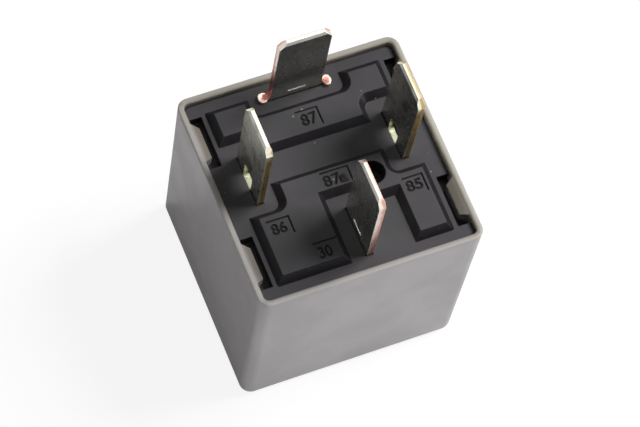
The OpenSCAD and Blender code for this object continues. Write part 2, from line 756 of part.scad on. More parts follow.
module terminal_rivets() {
    color("silver") for (y = [-1, 1])
        translate([foot_rivet_x, load_blade_y + y * foot_rivet_y, yoke_under])
            rivet(foot_rivet_r, yoke_t + blade_t, foot_rivet_r + 0.4, 0.3);
}

module spring_rivets() {
    color("silver") for (x = [-1, 1])
        translate([x * spring_rivet_x, hinge_y + yoke_t, spring_rivet_z]) rotate([90, 0, 0])
            rivet(spring_rivet_r, yoke_t + spring_t, spring_head_r, rivet_head_h);
}

module armature_rivets() {
    color("silver") at_hinge() for (x = [-1, 1])
        translate([x * armature_rivet_x, armature_rivet_y, 0]) mirror([0, 0, 1])
            rivet(armature_rivet_r, armature_t + spring_t, armature_head_r, tail_h);
}

cover();
base_plate();
terminal_30();
terminal_87();
terminal_85();
terminal_86();
yoke();
core();
bobbin();
coil_winding();
coil_tape();
suppression_resistor();
armature();
contact_spring();
moving_contact();
fixed_contact();
back_stop();
terminal_rivets();
spring_rivets();
armature_rivets();
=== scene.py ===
from math import cos, pi, sin

import bpy
from mathutils import Matrix, Vector


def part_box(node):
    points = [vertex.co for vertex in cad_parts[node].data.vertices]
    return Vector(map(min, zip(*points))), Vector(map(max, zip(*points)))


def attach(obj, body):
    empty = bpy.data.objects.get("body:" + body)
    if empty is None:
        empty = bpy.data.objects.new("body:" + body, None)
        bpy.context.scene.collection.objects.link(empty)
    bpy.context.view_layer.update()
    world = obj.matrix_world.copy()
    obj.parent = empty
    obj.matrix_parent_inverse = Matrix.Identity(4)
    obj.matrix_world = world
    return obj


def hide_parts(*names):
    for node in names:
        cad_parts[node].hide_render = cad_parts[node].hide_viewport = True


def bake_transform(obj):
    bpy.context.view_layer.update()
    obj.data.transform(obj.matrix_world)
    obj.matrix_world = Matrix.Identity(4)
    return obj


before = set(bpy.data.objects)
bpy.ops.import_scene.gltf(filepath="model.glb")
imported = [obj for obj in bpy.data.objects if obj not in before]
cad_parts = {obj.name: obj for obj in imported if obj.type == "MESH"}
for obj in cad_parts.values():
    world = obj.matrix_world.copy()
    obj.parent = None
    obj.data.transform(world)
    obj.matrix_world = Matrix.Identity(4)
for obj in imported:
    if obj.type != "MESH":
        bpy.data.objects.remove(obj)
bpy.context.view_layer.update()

HOUSING = "housing"
MM = 0.001

# ---------------------------------------------------------------- yoke of the magnet
# The L-shaped frame that carries the coil and closes its magnetic path: blanked and bent
# from mild steel strip, zinc plated, with rolling marks along the strip.
PLATED_LIGHT = (0.56, 0.55, 0.50, 1)
PLATED_DULL = (0.36, 0.35, 0.32, 1)
STEEL_BARE = (0.68, 0.67, 0.64, 1)
ROLLED_RELIEF = 0.004 * MM


def add_node(tree, kind, inputs=(), **settings):
    """Puts a node in a tree; inputs pairs a socket with a value or with another node's output."""
    made = tree.nodes.new("ShaderNode" + kind)
    for name, value in settings.items():
        setattr(made, name, value)
    for name, value in dict(inputs).items():
        if isinstance(value, bpy.types.NodeSocket):
            tree.links.new(value, made.inputs[name])
        else:
            made.inputs[name].default_value = value
    return made


def reckon(tree, operation, first, second=0.0, third=0.0):
    """One sum of two or three values."""
    made = add_node(tree, "Math", {0: first, 1: second, 2: third}, operation=operation)
    return made.outputs[0]


def spread(tree, value, low, high, start=0.0, end=1.0, smooth=True):
    """A value between low and high, carried over to between start and end and held there."""
    made = add_node(tree, "MapRange", {0: value, 1: low, 2: high, 3: start, 4: end},
                    interpolation_type="SMOOTHSTEP" if smooth else "LINEAR")
    return made.outputs[0]


def speckle(tree, place, scale, detail=2.0, rough=0.5, twist=0.0):
    """Three-dimensional noise from 0 to 1; scale counts its patches per metre."""
    made = add_node(tree, "TexNoise", {"Vector": place, "Scale": scale, "Detail": detail,
                                       "Roughness": rough, "Distortion": twist})
    return made.outputs["Fac"]


def tint(tree, share, first, second):
    """A colour between two others."""
    made = add_node(tree, "Mix", {"Factor": share}, data_type="RGBA")
    for slot_number, value in ((6, first), (7, second)):
        if isinstance(value, bpy.types.NodeSocket):
            tree.links.new(value, made.inputs[slot_number])
        else:
            made.inputs[slot_number].default_value = value
    return made.outputs[2]


def open_group(name, inputs, outputs):
    """A shader node group with its sockets, and the nodes at its two ends."""
    group = bpy.data.node_groups.new(name, "ShaderNodeTree")
    for socket, kind, value in inputs:
        made = group.interface.new_socket(socket, in_out="INPUT", socket_type="NodeSocket" + kind)
        if value is not None:
            made.default_value = value
    for socket, kind in outputs:
        group.interface.new_socket(socket, in_out="OUTPUT", socket_type="NodeSocket" + kind)
    return group, group.nodes.new("NodeGroupInput"), group.nodes.new("NodeGroupOutput")


def place_group(tree, group, **inputs):
    """A group set into a material, with its own values."""
    made = tree.nodes.new("ShaderNodeGroup")
    made.node_tree = group
    for name, value in inputs.items():
        if isinstance(value, bpy.types.NodeSocket):
            tree.links.new(value, made.inputs[name])
        else:
            made.inputs[name].default_value = value
    return made.outputs


def edges_group():
    """Mask of the convex and concave edges, broken up as handling breaks up a worn edge."""
    group, start, end = open_group(
        "edges", (("Place", "Vector", None), ("Reach", "Float", 0.3 * MM),
                  ("Breaks", "Float", 900.0), ("Gain", "Float", 4.0)),
        (("Mask", "Float"), ("Soft", "Vector")))
    soft = add_node(group, "Bevel", {"Radius": start.outputs["Reach"]}, samples=6)
    flat = add_node(group, "NewGeometry")
    meet = add_node(group, "VectorMath", {0: soft.outputs[0], 1: flat.outputs["True Normal"]},
                    operation="DOT_PRODUCT")
    turn = reckon(group, "SUBTRACT", 1.0, meet.outputs["Value"])
    strong = reckon(group, "MULTIPLY", turn, start.outputs["Gain"])
    patches = speckle(group, start.outputs["Place"], start.outputs["Breaks"], 3.0)
    broken = reckon(group, "MULTIPLY", strong, spread(group, patches, 0.32, 0.62, 0.25, 1.0))
    kept = add_node(group, "Clamp", {0: broken})
    group.links.new(kept.outputs[0], end.inputs["Mask"])
    group.links.new(soft.outputs[0], end.inputs["Soft"])
    return group


def grain_group():
    """Fine all-over grain of a mould or a rolled strip: a height and two scales of drift."""
    group, start, end = open_group(
        "grain", (("Place", "Vector", None), ("Fine", "Float", 6000.0), ("Wide", "Float", 180.0)),
        (("Height", "Float"), ("Drift", "Float"), ("Spots", "Float")))
    place = start.outputs["Place"]
    fine = speckle(group, place, start.outputs["Fine"], 3.0, 0.6)
    wide = speckle(group, place, start.outputs["Wide"], 4.0, 0.55, 0.3)
    spots = speckle(group, place, reckon(group, "MULTIPLY", start.outputs["Wide"], 6.0), 2.0, 0.5)
    group.links.new(fine, end.inputs["Height"])
    group.links.new(spread(group, wide, 0.3, 0.7), end.inputs["Drift"])
    group.links.new(spread(group, spots, 0.62, 0.74), end.inputs["Spots"])
    return group


EDGES = edges_group()
GRAIN = grain_group()


def open_finish(name, **constants):
    """A material, its node tree, its shader with constants on its own sockets, and its place."""
    finish = bpy.data.materials.new(name)
    finish.use_nodes = True
    tree = finish.node_tree
    shader = tree.nodes["Principled BSDF"]
    for socket, value in constants.items():
        shader.inputs[socket.replace("_", " ")].default_value = value
    place = add_node(tree, "TexCoord").outputs["Object"]
    return finish, tree, shader, place


def feed(tree, shader, **sources):
    """Links colours and values to the shader's sockets."""
    for socket, source in sources.items():
        tree.links.new(source, shader.inputs[socket.replace("_", " ")])


def raise_grain(tree, shader, height, depth, normal=None):
    """Bump on the shader from a height, over a bevelled normal if there is one."""
    bump = add_node(tree, "Bump", {"Height": height, "Distance": depth, "Strength": 1.0})
    if normal is not None:
        tree.links.new(normal, bump.inputs["Normal"])
    tree.links.new(bump.outputs[0], shader.inputs["Normal"])


def stretched(tree, place, along):
    """The place stretched along one axis, for marks that run with the strip."""
    return add_node(tree, "Mapping", {"Vector": place, "Scale": along}).outputs[0]


def dress(name, finish):
    """Gives a CAD node its finish in each of its material slots."""
    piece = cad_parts[name]
    if not piece.material_slots:
        piece.data.materials.append(finish)
    for material_slot in piece.material_slots:
        material_slot.material = finish
    return piece


def metal_finish(name, light, dull, worn, streaks, rough=0.3, reach=0.2 * MM):
    """Sheet metal: two tones that drift, marks along the strip, and edges worn bright."""
    finish, tree, shader, place = open_finish(name, Metallic=1.0)
    marks = speckle(tree, stretched(tree, place, streaks), 1400.0, 4.0, 0.6)
    grain = place_group(tree, GRAIN, Place=place, Fine=5000.0, Wide=260.0)
    edges = place_group(tree, EDGES, Place=place, Reach=reach, Breaks=1500.0, Gain=3.0)
    share = reckon(tree, "MULTIPLY_ADD", marks, 0.6, reckon(tree, "MULTIPLY", grain["Drift"], 0.5))
    body = tint(tree, spread(tree, share, 0.25, 0.85), light, dull)
    feed(tree, shader, Base_Color=tint(tree, edges["Mask"], body, worn),
         Roughness=spread(tree, share, 0.2, 0.9, rough, rough + 0.2))
    raise_grain(tree, shader, marks, ROLLED_RELIEF, edges["Soft"])
    return finish


plated_steel = metal_finish("plated_steel", PLATED_LIGHT, PLATED_DULL, STEEL_BARE, (1, 1, 0.08))
dress("yoke", plated_steel)

# ---------------------------------------------------------------- core of the magnet
# The round iron core, cold headed, with a turned pole face; it is riveted into the yoke
# through the bobbin.
IRON_LIGHT = (0.60, 0.59, 0.55, 1)
IRON_DULL = (0.42, 0.41, 0.38, 1)
core_iron = metal_finish("core_iron", IRON_LIGHT, IRON_DULL, STEEL_BARE, (1, 1, 0.3), rough=0.26)
dress("core", core_iron)

# ---------------------------------------------------------------- bobbin
# The former that the coil is wound on: natural glass-filled nylon, injection moulded,
# held between the yoke and the core's pole.
BOBBIN_PALE = (0.66, 0.63, 0.54, 1)
BOBBIN_AGED = (0.56, 0.51, 0.40, 1)
BOBBIN_RUBBED = (0.74, 0.72, 0.64, 1)
DUST = (0.42, 0.41, 0.40, 1)
DUST_PER_METRE = 1700.0


def moulded_finish(name, light, dark, worn, rough=0.5, fine=7000.0, depth=0.008 * MM,
                   reach=0.25 * MM, wear=1.0, spots=0.35, gloss=0.5, dust=0.0, aging_and_painted_shade=()):
    """Injection moulded plastic: fine grain, a slow drift of tone, edges rubbed lighter.

    dust is the strength of small pale specks; each pair of a mask's maker and a tone lays that tone
    on, a warmer tint of age on the cover's rim and painted shade on the rim's inside and the
    plate's slopes.
    """
    finish, tree, shader, place = open_finish(name, IOR=1.5, Specular_IOR_Level=gloss)
    grain = place_group(tree, GRAIN, Place=place, Fine=fine, Wide=140.0)
    edges = place_group(tree, EDGES, Place=place, Reach=reach, Breaks=700.0, Gain=2.2)
    body = tint(tree, grain["Drift"], light, dark)
    for mask, tone in aging_and_painted_shade:
        body = tint(tree, mask(tree, place), body, tone)
    specked = tint(tree, reckon(tree, "MULTIPLY", grain["Spots"], spots), body, dark)
    rubbed = reckon(tree, "MULTIPLY", edges["Mask"], wear)
    colour = tint(tree, rubbed, specked, worn)
    if dust:
        motes = spread(tree, speckle(tree, place, DUST_PER_METRE, 1.0), 0.77, 0.81, 0.0, dust)
        colour = tint(tree, motes, colour, DUST)
    feed(tree, shader, Base_Color=colour,
         Roughness=spread(tree, grain["Drift"], 0.0, 1.0, rough - 0.05, rough + 0.08))
    raise_grain(tree, shader, grain["Height"], depth, edges["Soft"])
    return finish


bobbin_nylon = moulded_finish("bobbin_nylon", BOBBIN_PALE, BOBBIN_AGED, BOBBIN_RUBBED)
dress("bobbin", bobbin_nylon)

# ---------------------------------------------------------------- coil winding
# Enamelled copper wire, wound in level layers on the bobbin; the enamel is dark red brown and
# shines on the crowns of the turns, and the grooves between them are darkened as painted shade.
WIRE_CROWN = (0.62, 0.20, 0.065, 1)
# The groove tone is painted shade between the turns.
WIRE_GROOVE_SHADE = (0.16, 0.035, 0.012, 1)
TURNS_PER_METRE = 5001.0
WIRE_RELIEF = 0.02 * MM


def wire_finish():
    """Rings of wire round the coil's axis, with painted shade in their grooves, under a coat of
    enamel.
    """
    finish, tree, shader, place = open_finish("enamelled_wire", Metallic=0.85, Coat_Weight=0.5,
                                              Coat_Roughness=0.15)
    split = add_node(tree, "SeparateXYZ", {0: place})
    turns = reckon(tree, "MULTIPLY", split.outputs["Z"], 2 * pi * TURNS_PER_METRE)
    rings = reckon(tree, "SINE", turns)
    crowns = spread(tree, rings, -1.0, 0.6)
    drift = speckle(tree, place, 900.0, 3.0)
    share = reckon(tree, "MULTIPLY", crowns, spread(tree, drift, 0.2, 0.8, 0.6, 1.0))
    feed(tree, shader, Base_Color=tint(tree, share, WIRE_GROOVE_SHADE, WIRE_CROWN),
         Roughness=spread(tree, drift, 0.3, 0.7, 0.24, 0.42))
    raise_grain(tree, shader, rings, WIRE_RELIEF)
    return finish


dress("coil_winding", wire_finish())

# ---------------------------------------------------------------- coil tape
# One turn of yellow polyester film tape with a glossy face, laid over the finished winding.
TAPE_YELLOW = (0.74, 0.50, 0.07, 1)
TAPE_DEEP = (0.56, 0.33, 0.035, 1)
TAPE_RELIEF = 0.03 * MM


def tape_finish():
    """Clear glossy film over yellow, with long low folds where it was pulled tight."""
    finish, tree, shader, place = open_finish("film_tape", Coat_Weight=0.7, Coat_Roughness=0.08,
                                              IOR=1.55)
    folds = speckle(tree, stretched(tree, place, (1, 1, 0.25)), 700.0, 3.0, 0.5, 0.8)
    under = speckle(tree, place, 2600.0, 2.0)
    share = reckon(tree, "MULTIPLY_ADD", folds, 0.7, reckon(tree, "MULTIPLY", under, 0.3))
    feed(tree, shader, Base_Color=tint(tree, spread(tree, share, 0.3, 0.7), TAPE_YELLOW, TAPE_DEEP),
         Roughness=spread(tree, under, 0.3, 0.7, 0.22, 0.36))
    raise_grain(tree, shader, folds, TAPE_RELIEF)
    return finish


dress("coil_tape", tape_finish())

# ---------------------------------------------------------------- coil terminals 85 and 86
# Blades stamped from brass strip that was tinned before it was cut: the broad faces keep the
# dull tin, and the sheared edges and the point show raw brass. They are pressed into the base.
TIN_LIGHT = (0.64, 0.645, 0.59, 1)
TIN_DULL = (0.45, 0.46, 0.41, 1)
TIN_STREAK = (0.74, 0.73, 0.66, 1)
TIN_STAINED = (0.30, 0.27, 0.20, 1)
BRASS_CUT = (0.56, 0.40, 0.17, 1)
BRASS_PALE = (0.92, 0.89, 0.72, 1)
BRASS_DARK = (0.24, 0.155, 0.06, 1)
BRASS_HOLE = (0.58, 0.58, 0.42, 1)
BRASS = (BRASS_CUT, BRASS_PALE, BRASS_DARK, BRASS_HOLE)
COIL_BLADE_X, COIL_BLADE_Y = 8.9 * MM, 1.9 * MM
BLADE_WIDTH = 6.3 * MM
BLADE_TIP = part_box("terminal_86")[1].z
TIP_CUT = 0.95 * MM
NOSE = 0.08 * MM
FACE_TURN = (0.30, 0.55)
TEAR_DEPTH = 0.5 * MM
TEAR_BLEND = (-0.1 * MM, 0.14 * MM)
FOOT_DARK_START, FOOT_DARK_FULL = 5.5 * MM, 9.5 * MM
TIN_RELIEF = 0.0025 * MM


def blade_finish(name, node, thin_axis, wide_axis, middle, tones, mottled, bright, darkens, foot_dark):
    """Tinned strip with raw cut edges; middle is the blade's place across its thickness and width.

    tones are the raw, sheared, dark and hole tones; bright is how much of the thickness the
    shear left bright, darkens the two depths between which it goes dull, and the last how much
    darker the cut edges grow towards the foot.
    """
    cut, pale, dark_tone, hole = tones
    finish, tree, shader, place = open_finish(name, Metallic=1.0)
    normal = add_node(tree, "TexCoord").outputs["Normal"]
    facing = reckon(tree, "ABSOLUTE", add_node(tree, "SeparateXYZ", {0: normal}).outputs[thin_axis])
    where = add_node(tree, "SeparateXYZ", {0: place}).outputs
    off_middle = reckon(tree, "ABSOLUTE", reckon(tree, "SUBTRACT", where[wide_axis], middle[1]))
    side = reckon(tree, "GREATER_THAN", off_middle, BLADE_WIDTH / 2 - TIP_CUT)
    end = reckon(tree, "GREATER_THAN", where["Z"], BLADE_TIP - NOSE)
    outline = reckon(tree, "MAXIMUM", side, end)
    edge_on = spread(tree, facing, *FACE_TURN, 1.0, 0.0)
    raw = reckon(tree, "MULTIPLY", outline, edge_on)
    strip = speckle(tree, stretched(tree, place, (1, 1, 0.12)), 700.0, 1.0, 0.5, 0.3)
    mottle = speckle(tree, place, 420.0, 2.0, 0.5, 0.6)
    flecks = speckle(tree, stretched(tree, place, (1, 1, 0.3)), 2400.0, 2.0, 0.5, 0.4)
    share = reckon(tree, "MULTIPLY_ADD", strip, 0.2, reckon(tree, "MULTIPLY", mottle, 0.8))
    tin = tint(tree, spread(tree, share, 0.36, 0.64, 0.0, mottled), TIN_LIGHT, TIN_DULL)
    stains = speckle(tree, stretched(tree, place, (1, 1, 0.6)), 230.0, 3.0, 0.5, 0.5)
    tin = tint(tree, spread(tree, stains, 0.50, 0.66, 0.0, 0.75 * mottled), tin, TIN_STAINED)
    tin = tint(tree, spread(tree, flecks, 0.66, 0.78, 0.0, 0.5 * mottled), tin, TIN_STREAK)
    across = reckon(tree, "SUBTRACT", where[thin_axis], middle[0])
    shear = speckle(tree, stretched(tree, place, (1.6, 1.6, 0.6)), 1500.0, 3.0, 0.6)
    torn = reckon(tree, "MULTIPLY_ADD", shear, TEAR_DEPTH, across)
    low = spread(tree, where["Z"], BLADE_TIP - darkens[1], BLADE_TIP - darkens[0], 1.0, 0.0,
                 smooth=False)
    # The cut edges grow darker towards the foot of the blade.
    foot = spread(tree, where["Z"], BLADE_TIP - FOOT_DARK_FULL, BLADE_TIP - FOOT_DARK_START, foot_dark, 0.0)
    ragged = reckon(tree, "MULTIPLY_ADD", low, -TEAR_DEPTH, bright)
    torn_share = spread(tree, reckon(tree, "SUBTRACT", torn, ragged), *TEAR_BLEND)
    cut_tone = tint(tree, torn_share, pale, cut)
    dark_share = reckon(tree, "MULTIPLY", spread(tree, shear, 0.50, 0.66),
                         reckon(tree, "MULTIPLY_ADD", low, 0.7, 0.15))
    cut_tone = tint(tree, reckon(tree, "MAXIMUM", dark_share, foot), cut_tone, dark_tone)
    edges = place_group(tree, EDGES, Place=place, Reach=0.1 * MM, Breaks=2600.0, Gain=3.0)
    faces = tint(tree, raw, tint(tree, edge_on, tin, hole), cut_tone)
    rubbed = reckon(tree, "MULTIPLY", edges["Mask"], 0.5)
    tin_rough = spread(tree, mottle, 0.3, 0.7, 0.25 - 0.04 * mottled, 0.27 + 0.07 * mottled)
    cut_rough = spread(tree, shear, 0.3, 0.7, 0.26, 0.46)
    feed(tree, shader, Base_Color=tint(tree, rubbed, faces, pale),
         Roughness=tint(tree, raw, tin_rough, cut_rough))
    relief = reckon(tree, "MULTIPLY_ADD", flecks, 0.2, mottle)
    raise_grain(tree, shader, relief, TIN_RELIEF * mottled, edges["Soft"])
    dress(node, finish)


for number, side in (("85", 1), ("86", -1)):
    blade_finish("tinned_brass_" + number, "terminal_" + number, "X", "Y",
                 (side * COIL_BLADE_X, COIL_BLADE_Y), BRASS, mottled=1.0, bright=0.5 * MM,
                 darkens=(1.2 * MM, 2.8 * MM), foot_dark=0.25)

# ---------------------------------------------------------------- suppression resistor
# A carbon film resistor across the coil, which quenches its switching spike: a ceramic rod
# in pale lacquer with colour bands, its leads welded to the terminals' tails.
LACQUER = (0.42, 0.60, 0.66, 1)
LACQUER_DEEP = (0.32, 0.50, 0.58, 1)
LEAD_TIN = (0.62, 0.61, 0.58, 1)
BAND_WIDTH = 0.55 * MM
BANDS = ((-2.1 * MM, (0.25, 0.03, 0.02, 1)), (-0.9 * MM, (0.02, 0.06, 0.25, 1)),
         (0.2 * MM, (0.16, 0.05, 0.015, 1)), (1.9 * MM, (0.55, 0.36, 0.08, 1)))
BODY_HALF = 3.3 * MM
LACQUER_RELIEF = 0.015 * MM


def resistor_finish():
    """Lacquer with four ragged colour bands along X, and tinned leads past the body's ends."""
    finish, tree, shader, place = open_finish("resistor_lacquer", Coat_Weight=0.4,
                                              Coat_Roughness=0.2)
    along = add_node(tree, "SeparateXYZ", {0: place}).outputs["X"]
    drift = speckle(tree, place, 1500.0, 3.0)
    colour = tint(tree, spread(tree, drift, 0.35, 0.65), LACQUER, LACQUER_DEEP)
    for middle, band in BANDS:
        away = reckon(tree, "ABSOLUTE", reckon(tree, "SUBTRACT", along, middle))
        ragged = reckon(tree, "MULTIPLY_ADD", drift, 0.1 * MM, away)
        inside = spread(tree, ragged, BAND_WIDTH / 2, BAND_WIDTH / 2 + 0.06 * MM, 1.0, 0.0)
        colour = tint(tree, inside, colour, band)
    lead = spread(tree, reckon(tree, "ABSOLUTE", along), BODY_HALF, BODY_HALF + 0.1 * MM)
    feed(tree, shader, Base_Color=tint(tree, lead, colour, LEAD_TIN), Metallic=lead,
         Roughness=spread(tree, drift, 0.3, 0.7, 0.28, 0.42))
    raise_grain(tree, shader, drift, LACQUER_RELIEF)
    return finish


dress("suppression_resistor", resistor_finish())

# ---------------------------------------------------------------- armature
# The plate that the magnet pulls: blanked from mild steel, zinc plated, and hinged on its
# rear edge under the yoke's ears.
dress("armature", plated_steel)

# ---------------------------------------------------------------- contact spring
# Bronze strip bent to a right angle: its leg is riveted to the yoke, its round corner bends
# as the armature moves, and its blade carries the moving contact.
BRONZE = (0.66, 0.34, 0.17, 1)
BRONZE_DULL = (0.46, 0.22, 0.11, 1)
BRONZE_BARE = (0.80, 0.50, 0.32, 1)
WELD = 0.001 * MM
spring_bronze = metal_finish("spring_bronze", BRONZE, BRONZE_DULL, BRONZE_BARE, (1, 0.1, 1),
                             rough=0.24, reach=0.1 * MM)


def select_nothing():
    """Clears the selection, which the operators would otherwise act on."""
    bpy.ops.object.select_all(action="DESELECT")
    bpy.context.view_layer.objects.active = None


def merged_copy(name, node):
    """A piece with a CAD node's form, its loose triangles merged to one closed skin."""
    select_nothing()
    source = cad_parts[node]
    piece = bpy.data.objects.new(name, source.data.copy())
    piece.data.name = name
    bpy.context.scene.collection.objects.link(piece)
    bpy.context.view_layer.objects.active = piece
    piece.select_set(True)
    bpy.ops.object.mode_set(mode="EDIT")
    bpy.ops.mesh.select_all(action="SELECT")
    bpy.ops.mesh.remove_doubles(threshold=WELD)
    bpy.ops.object.mode_set(mode="OBJECT")
    piece.data.materials.clear()
    return piece


spring = merged_copy("contact_spring_bronze", "contact_spring")
spring.data.materials.append(spring_bronze)
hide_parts("contact_spring")
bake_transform(spring)

# ---------------------------------------------------------------- contacts
# The moving contact is a rivet set in the spring's end; the fixed one is a rivet in blade
# 87's foot. Both are silver alloy, bright where they meet and grey round the rim.
SILVER = (0.86, 0.85, 0.82, 1)
SILVER_GREY = (0.52, 0.51, 0.50, 1)
contact_silver = metal_finish("contact_silver", SILVER, SILVER_GREY, SILVER, (1, 1, 1), rough=0.2,
                              reach=0.15 * MM)
dress("moving_contact", contact_silver)
dress("fixed_contact", contact_silver)

# ---------------------------------------------------------------- rivets
# Small round-headed steel rivets: two hold the spring's leg to the yoke, two its blade to
# the armature, and two hold blade 30 on the yoke.
RIVET_LIGHT = (0.64, 0.63, 0.60, 1)
RIVET_DULL = (0.44, 0.43, 0.41, 1)
rivet_steel = metal_finish("rivet_steel", RIVET_LIGHT, RIVET_DULL, STEEL_BARE, (1, 1, 1),
                           rough=0.25, reach=0.1 * MM)
for rivets in ("spring_rivets", "armature_rivets", "terminal_rivets"):
    dress(rivets, rivet_steel)

# ---------------------------------------------------------------- load terminals 87 and 30
# Blades stamped from tinned copper strip. 87 is pushed through the base on its shoulders and
# carries the fixed contact; 30 is riveted to the yoke. Their cut edges are copper pink.
COPPER_CUT = (0.80, 0.43, 0.33, 1)
COPPER_PALE = (0.97, 0.86, 0.80, 1)
COPPER_DARK = (0.26, 0.06, 0.05, 1)
COPPER_HOLE = (0.84, 0.83, 0.79, 1)
COPPER = (COPPER_CUT, COPPER_PALE, COPPER_DARK, COPPER_HOLE)
OUT_BLADE = (10.95 * MM, 0.1 * MM)
LOAD_BLADE = (0.45 * MM, -7.95 * MM)
blade_finish("tinned_copper_87", "terminal_87", "Y", "X", OUT_BLADE, COPPER, mottled=0.3,
             bright=0.38 * MM, darkens=(3.0 * MM, 8.0 * MM), foot_dark=0.85)
blade_finish("tinned_copper_30", "terminal_30", "X", "Y", LOAD_BLADE, COPPER, mottled=0.2,
             bright=0.28 * MM, darkens=(6.0 * MM, 22.0 * MM), foot_dark=0.1)
STAKE_PALE = (0.97, 0.86, 0.77, 1)
STAKE_DULL = (0.66, 0.40, 0.30, 1)
STAKE_FOOT = 25.85 * MM
STAKE_INSETS = ((0.12, 0.0), (0.10, -0.02), (0.12, -0.14), (0.08, -0.06))
STAKE_UNEVEN = 0.07 * MM
STAKE_ROUNDING = 0.14 * MM
staked_copper = metal_finish("staked_copper", STAKE_PALE, STAKE_DULL, COPPER_PALE, (1, 1, 1),
                             rough=0.24)


def staked_shoulder(name, middle_x, middle_y, half_x, half_y, height, hollow_x):
    """A lump of copper spread over the plate beside the blade, with a hollow in its top."""
    select_nothing()
    bpy.ops.mesh.primitive_cylinder_add(vertices=24, radius=1, depth=1,
                                        location=(middle_x, middle_y, STAKE_FOOT + height / 2))
    lump = bpy.context.active_object
    lump.name = name
    lump.scale = (half_x, half_y, height)
    bpy.ops.object.transform_apply(location=True, rotation=True, scale=True)
    bpy.ops.object.mode_set(mode="EDIT")
    bpy.ops.mesh.select_all(action="DESELECT")
    bpy.ops.mesh.select_mode(type="FACE")
    bpy.ops.object.mode_set(mode="OBJECT")
    for face in lump.data.polygons:
        face.select = face.normal.z > 0.9
    bpy.ops.object.mode_set(mode="EDIT")
    for step, drop in STAKE_INSETS:
        bpy.ops.mesh.inset(thickness=step * MM)
        bpy.ops.transform.translate(value=(hollow_x * step * MM, 0, drop * MM))
    bpy.ops.mesh.select_all(action="SELECT")
    bpy.ops.transform.vertex_random(offset=STAKE_UNEVEN, seed=5)
    bpy.ops.object.mode_set(mode="OBJECT")
    rounding = lump.modifiers.new("rounding", "BEVEL")
    rounding.width = STAKE_ROUNDING
    rounding.segments = 2
    rounding.limit_method = "ANGLE"
    bpy.ops.object.modifier_apply(modifier=rounding.name)
    softened = lump.modifiers.new("softened", "SUBSURF")
    softened.levels = softened.render_levels = 1
    bpy.ops.object.modifier_apply(modifier=softened.name)
    bpy.ops.object.shade_smooth()
    lump.data.materials.append(staked_copper)
    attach(lump, HOUSING)


staked_shoulder("staked_shoulder_left", -3.84 * MM, 10.94 * MM, half_x=0.58 * MM,
                half_y=0.64 * MM, height=0.56 * MM, hollow_x=1.0)
staked_shoulder("staked_shoulder_right", 4.0 * MM, 10.75 * MM, half_x=0.48 * MM,
                half_y=0.66 * MM, height=0.60 * MM, hollow_x=-0.7)

# ---------------------------------------------------------------- back stop
# A narrow tinned strip under the moving contact, which stops it while the coil is off. It is
# pressed into a pocket of the base plate.
STOP_LIGHT = (0.58, 0.57, 0.53, 1)
STOP_DULL = (0.40, 0.39, 0.37, 1)
dress("back_stop", metal_finish("back_stop_tin", STOP_LIGHT, STOP_DULL, STEEL_BARE, (1, 1, 0.1)))

# ---------------------------------------------------------------- base plate
# The plate that holds every terminal: glass-filled nylon, anthracite, injection moulded, with
# sloped lands between the blades and the terminal numbers sunk in their tops.
PLATE_GREY = (0.084, 0.079, 0.085, 1)
PLATE_DARK = (0.067, 0.065, 0.069, 1)
# The slopes' tone is painted shade, darker than the flats.
PLATE_SLOPE_SHADE = (0.016, 0.014, 0.017, 1)
PLATE_RUBBED = (0.13, 0.127, 0.13, 1)
# The sunk numbers' tones are painted shade, much darker than the plate.
MARK_SHADE = (0.012, 0.011, 0.012, 1)
MARK_SHADE_DULL = (0.02, 0.02, 0.02, 1)
MARK_DEPTH = 0.16 * MM
MARK_LINE = 0.2 * MM
BAR_DROP = 0.1
DIGIT_WEIGHT = 0.03
DIGIT_STEPS = 3
LAND_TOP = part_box("base_plate")[1].z


def painted_slope_shade(tree, place):
    """One on the lands' slopes and walls, where painted shade makes them darker than the flats;
    needs no place.
    """
    normal = add_node(tree, "TexCoord").outputs["Normal"]
    upward = add_node(tree, "SeparateXYZ", {0: normal}).outputs["Z"]
    return spread(tree, upward, 0.80, 0.93, 1.0, 0.0)


plate_nylon = moulded_finish("plate_nylon", PLATE_GREY, PLATE_DARK, PLATE_RUBBED, rough=0.40,
                             fine=9000.0, depth=0.007 * MM, reach=0.2 * MM, wear=0.5, gloss=0.13,
                             dust=0.6, aging_and_painted_shade=((painted_slope_shade, PLATE_SLOPE_SHADE),))
painted_mark_shade = moulded_finish("painted_mark_shade", MARK_SHADE, MARK_SHADE_DULL, PLATE_DARK, rough=0.6, gloss=0.15)

plate = merged_copy("base_plate_marked", "base_plate")
plate.data.materials.append(plate_nylon)
plate.data.materials.append(painted_mark_shade)


def line_cutter(name, x0, y0, x1, y1):
    """A straight bar across the land's top, as wide as the marking tool's line."""
    bpy.ops.mesh.primitive_cube_add(size=1, location=((x0 + x1) / 2, (y0 + y1) / 2, LAND_TOP))
    bar = bpy.context.active_object
    bar.name = name
    bar.scale = (abs(x1 - x0) + MARK_LINE, abs(y1 - y0) + MARK_LINE, 2 * MARK_DEPTH)
    bpy.ops.object.transform_apply(location=True, rotation=True, scale=True)
    return bar


